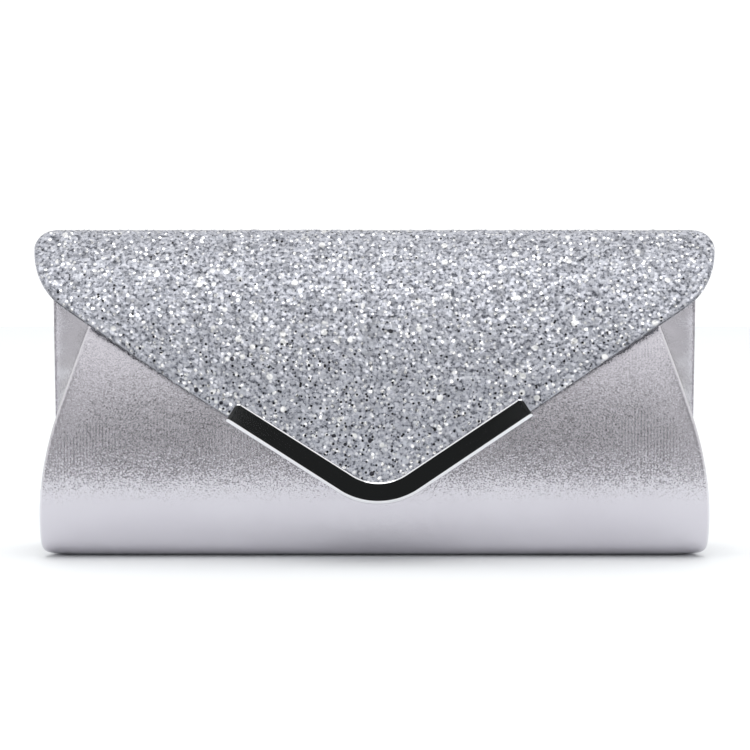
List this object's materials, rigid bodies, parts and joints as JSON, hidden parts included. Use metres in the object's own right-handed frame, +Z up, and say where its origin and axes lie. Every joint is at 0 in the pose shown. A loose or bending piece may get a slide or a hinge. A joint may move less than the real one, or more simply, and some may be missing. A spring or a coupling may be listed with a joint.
{
  "type": "evening bag",
  "caption": "Envelope evening bag: glitter flap with a V-shaped bright metal edge over a curved silver front, closing on a magnetic snap.",
  "frame": {"origin": "bottom centre of the bag's box, on the surface it stands on", "axes": "+X to the right along the bag's length, +Y to the back, +Z up; the flap closes on the -Y side"},
  "size_m": [0.26, 0.0506, 0.1234],
  "materials": {
    "metallic_leather": "silver metallic coated fabric, fine grain",
    "glitter_fabric": "coarse silver glitter",
    "satin_lining": "satin",
    "stiffener_board": "plain",
    "chrome_trim": "polished",
    "nickel_snap": "polished",
    "nickel_ring": "polished",
    "steel_screw": "brushed",
    "magnet": "matt"
  },
  "bodies": {
    "body": {"back_panel": "metallic_leather", "back_board": "stiffener_board", "back_lining": "satin_lining", "back_facing": "metallic_leather", "base_panel": "metallic_leather", "base_board": "stiffener_board", "base_lining": "satin_lining", "gusset_left": "metallic_leather", "gusset_right": "metallic_leather", "gusset_lining_left": "satin_lining", "gusset_lining_right": "satin_lining", "slip_pocket": "satin_lining", "slip_pocket_binding": "metallic_leather", "spine_cover": "glitter_fabric", "spine_lining": "satin_lining", "ring_tab_left": "metallic_leather", "ring_tab_right": "metallic_leather"},
    "front": {"front_panel": "metallic_leather", "front_board": "stiffener_board", "front_lining": "satin_lining", "front_facing": "metallic_leather", "snap_socket": "nickel_snap", "snap_magnet": "magnet", "snap_socket_washer": "steel_screw"},
    "flap": {"flap_cover": "glitter_fabric", "flap_board": "stiffener_board", "flap_lining": "satin_lining", "flap_trim": "chrome_trim", "trim_set_screws": "steel_screw", "snap_stud": "nickel_snap", "snap_stud_washer": "steel_screw"},
    "ring_left": {"d_ring_left": "nickel_ring"},
    "ring_right": {"d_ring_right": "nickel_ring"}
  },
  "joints": [
    {"name": "flap_hinge", "type": "hinge", "parent": "body", "child": "flap", "pos_m": [0, 0.02435, 0.1144], "axis": [-1, 0, 0], "range_deg": [0, 180], "deforming": ["spine_cover", "spine_lining"]},
    {"name": "front_open", "type": "hinge", "parent": "body", "child": "front", "pos_m": [0, -0.00104, 0], "axis": [1, 0, 0], "range_deg": [0, 12]},
    {"name": "ring_left_swing", "type": "hinge", "parent": "body", "child": "ring_left", "pos_m": [-0.106, 0.01945, 0.099], "axis": [-1, 0, 0], "range_deg": [0, 60]},
    {"name": "ring_right_swing", "type": "hinge", "parent": "body", "child": "ring_right", "pos_m": [0.106, 0.01945, 0.099], "axis": [-1, 0, 0], "range_deg": [0, 60]}
  ],
  "couplings": [
    {"joint": "front_open", "follows": "flap_hinge", "ratio": 0.066667}
  ]
}
